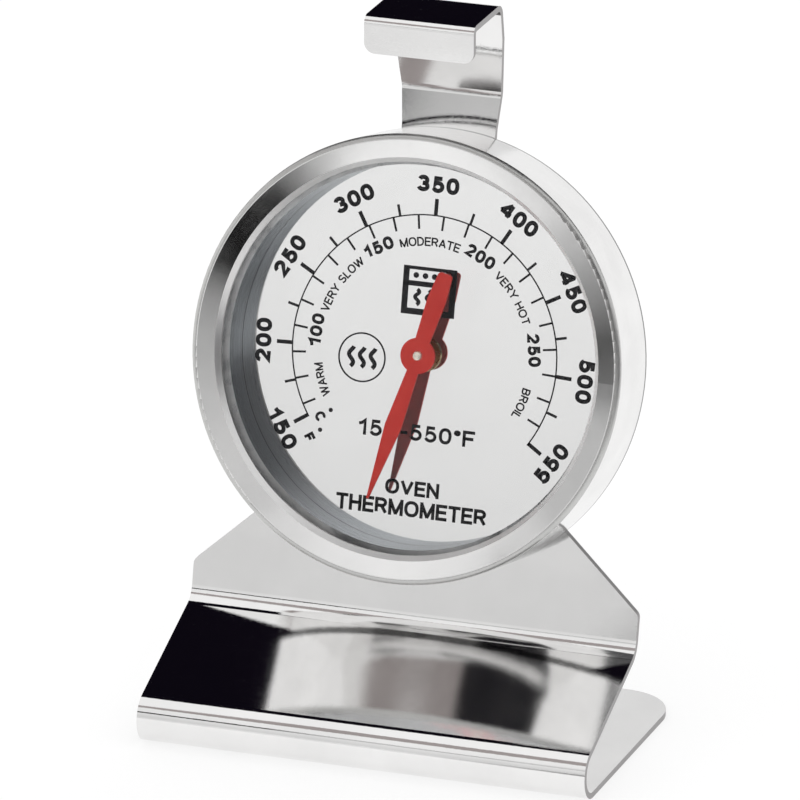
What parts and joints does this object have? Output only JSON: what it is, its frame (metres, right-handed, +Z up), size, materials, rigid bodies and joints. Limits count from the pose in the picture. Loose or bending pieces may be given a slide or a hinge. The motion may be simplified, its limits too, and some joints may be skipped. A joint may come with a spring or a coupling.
{
  "type": "oven thermometer",
  "caption": "Round dial thermometer in a steel case, riveted to a bent sheet stand with a wide folded base and a hook for an oven rack; a pointer turns over the scale.",
  "frame": {"origin": "middle of the footprint, on the surface the base stands on", "axes": "+Z up, -Y the way the dial faces, +X to the reader's right"},
  "size_m": [0.068, 0.0434, 0.1055],
  "materials": {
    "stand_steel": "bright-rolled stainless sheet, nearly mirror, fine scratches",
    "bezel_steel": "spun and satin-polished stainless, fine circular lines",
    "case_steel": "mill-finish stainless pressing",
    "lens_glass": "clear polished glass",
    "gasket_rubber": "matt black heat-proof rubber",
    "well_metal": "dark satin aluminium",
    "dial_face": "white satin anodised aluminium, bright enough to mirror the pointer",
    "dial_ink": "screen-printed black ink",
    "brass": "turned brass",
    "bimetal": "rolled strip",
    "rivet_metal": "headed aluminium",
    "spindle_steel": "polished steel",
    "pointer_paint": "satin red paint"
  },
  "bodies": {
    "root": {"stand_frame": "stand_steel", "bezel_ring": "bezel_steel", "case_back": "case_steel", "glass_lens": "lens_glass", "lens_gasket": "gasket_rubber", "spacer_ring": "well_metal", "dial_plate": "dial_face", "dial_bushing": "brass", "rear_bearing": "brass", "bimetal_coil": "bimetal", "coil_bracket": "case_steel", "bracket_rivet": "rivet_metal", "case_rivet_top": "rivet_metal", "case_rivet_left": "rivet_metal", "case_rivet_right": "rivet_metal"},
    "movement": {"spindle": "spindle_steel", "coil_collar": "brass", "thrust_washer": "brass", "pointer_boss": "brass", "pointer": "pointer_paint"}
  },
  "joints": [
    {"name": "pointer_turn", "type": "hinge", "parent": "root", "child": "movement", "pos_m": [0, 0.0062, 0.0548], "axis": [0, 0.9763, -0.2164], "range_deg": [-20, 300], "stiffness_Nm_per_rad": 0.0005}
  ]
}
